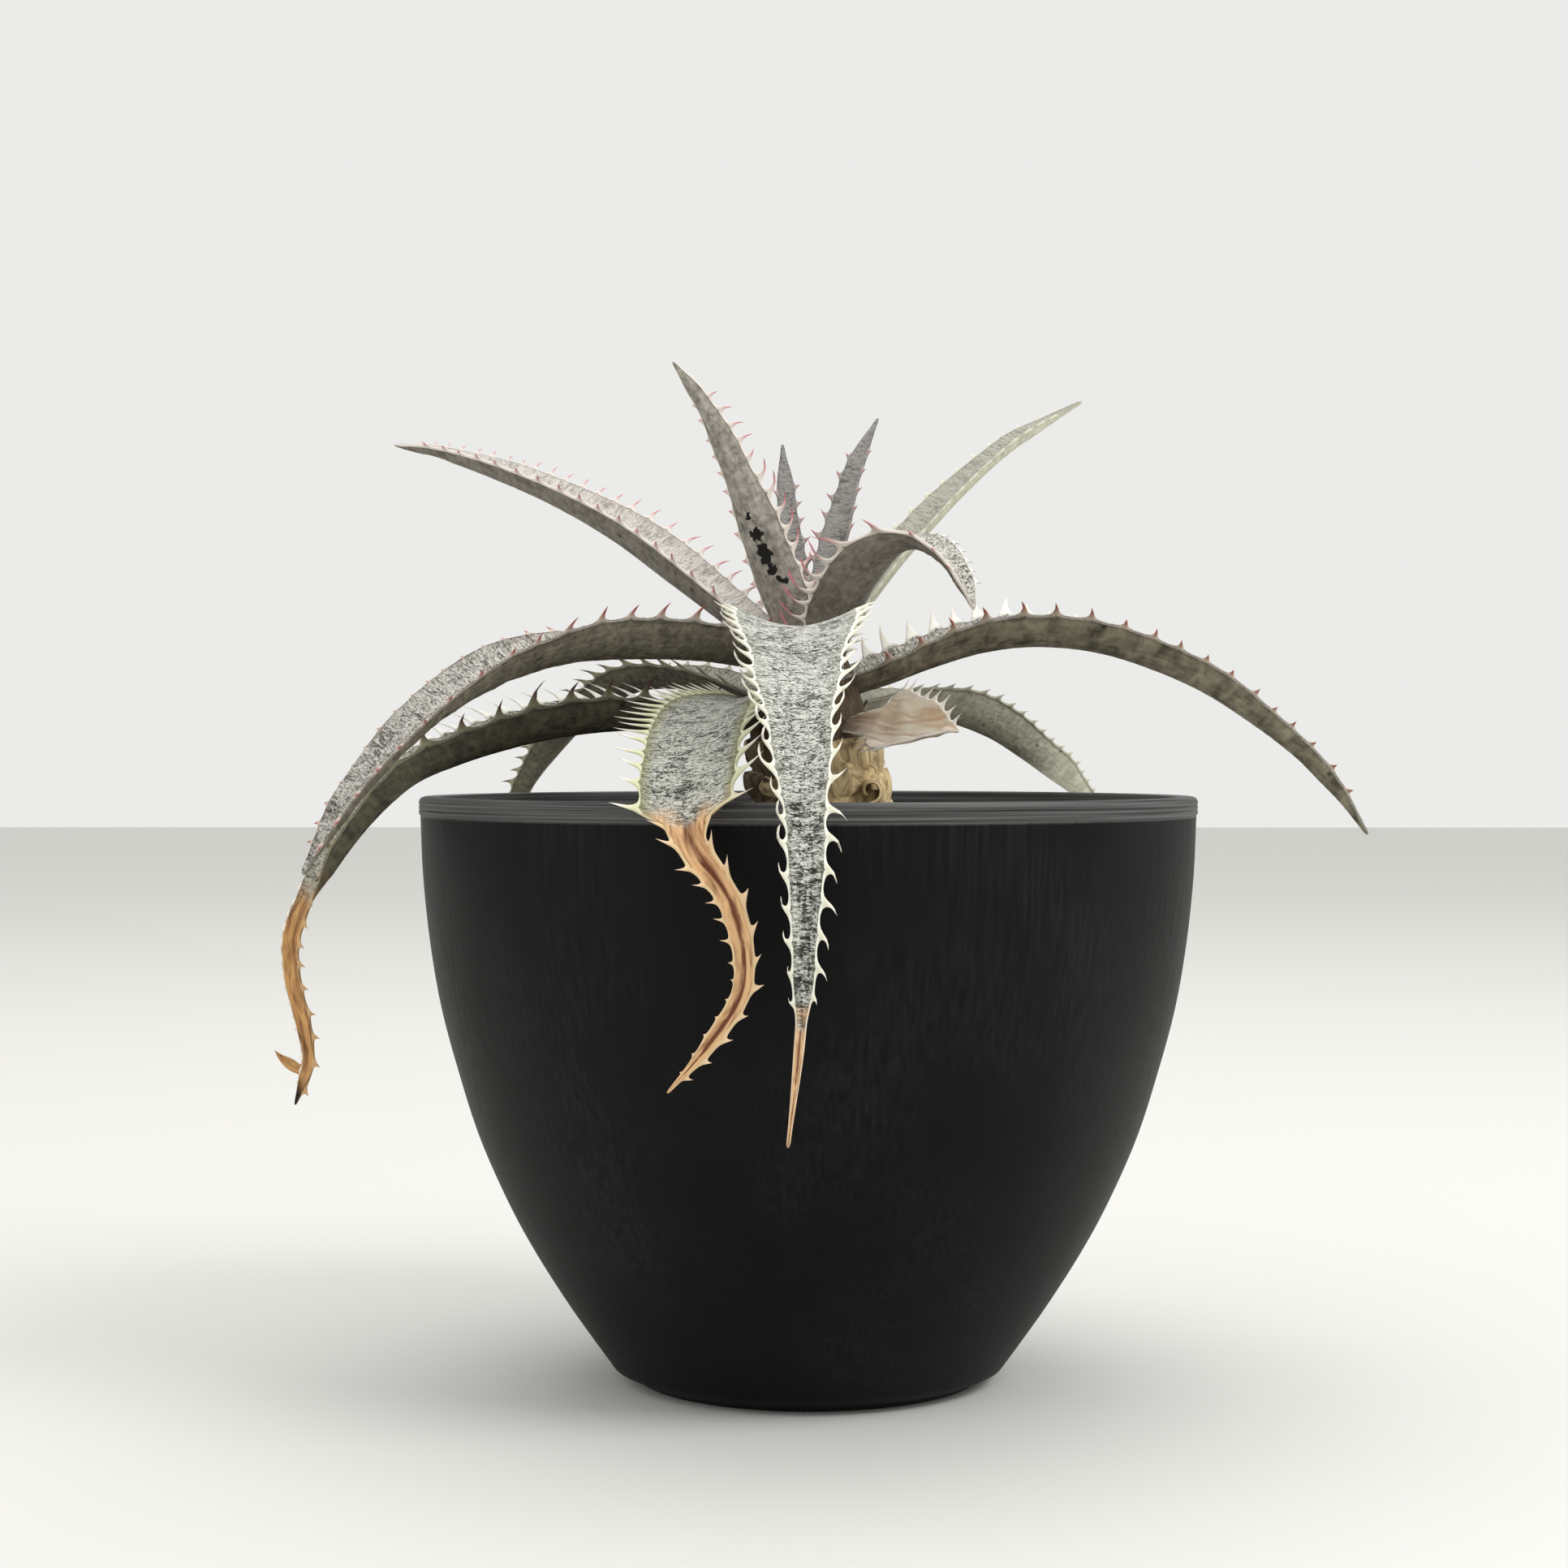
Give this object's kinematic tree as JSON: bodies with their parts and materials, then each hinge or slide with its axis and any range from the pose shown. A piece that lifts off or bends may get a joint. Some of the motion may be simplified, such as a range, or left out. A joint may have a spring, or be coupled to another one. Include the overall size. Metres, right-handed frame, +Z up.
{
  "type": "potted dyckia bromeliad",
  "caption": "Spiny-leaved dyckia bromeliad with arching, toothed silver leaves, growing in a round black plastic pot filled with potting mix.",
  "frame": {"origin": "middle of the pot's underside, on the surface that it stands on", "axes": "+Z up along the pot's axis, -Y towards the leaf that hangs over the front of the rim, +X towards the long leaf that arches to the right"},
  "size_m": [0.2095, 0.1714, 0.1963],
  "materials": {
    "pot_plastic": "matt charcoal black moulded plastic with a soft sheen",
    "potting_mix": "dark, damp, gritty bark mix",
    "old_leaf_bases": "dry ochre and brown papery leaf bases",
    "scurfy_leaf": "silver-grey scurf over grey-green leaf, with pale hooked spines",
    "bare_leaf": "grey-brown leaf underside with thin scurf and fine dark spots",
    "dead_leaf": "dried, tan-pink and torn"
  },
  "bodies": {
    "root": {"pot": "pot_plastic", "soil": "potting_mix", "stem": "old_leaf_bases", "dead_leaf": "dead_leaf", "leaf_front": "scurfy_leaf", "leaf_front_left": "scurfy_leaf", "leaf_left_upper": "scurfy_leaf", "leaf_left_lower": "bare_leaf", "leaf_left_high": "scurfy_leaf", "leaf_upright_left": "bare_leaf", "leaf_upright_back": "scurfy_leaf", "leaf_upright_right": "scurfy_leaf", "leaf_back_high": "scurfy_leaf", "leaf_folded": "bare_leaf", "leaf_right": "scurfy_leaf", "leaf_back_right": "bare_leaf", "leaf_back_left": "scurfy_leaf"}
  },
  "joints": []
}
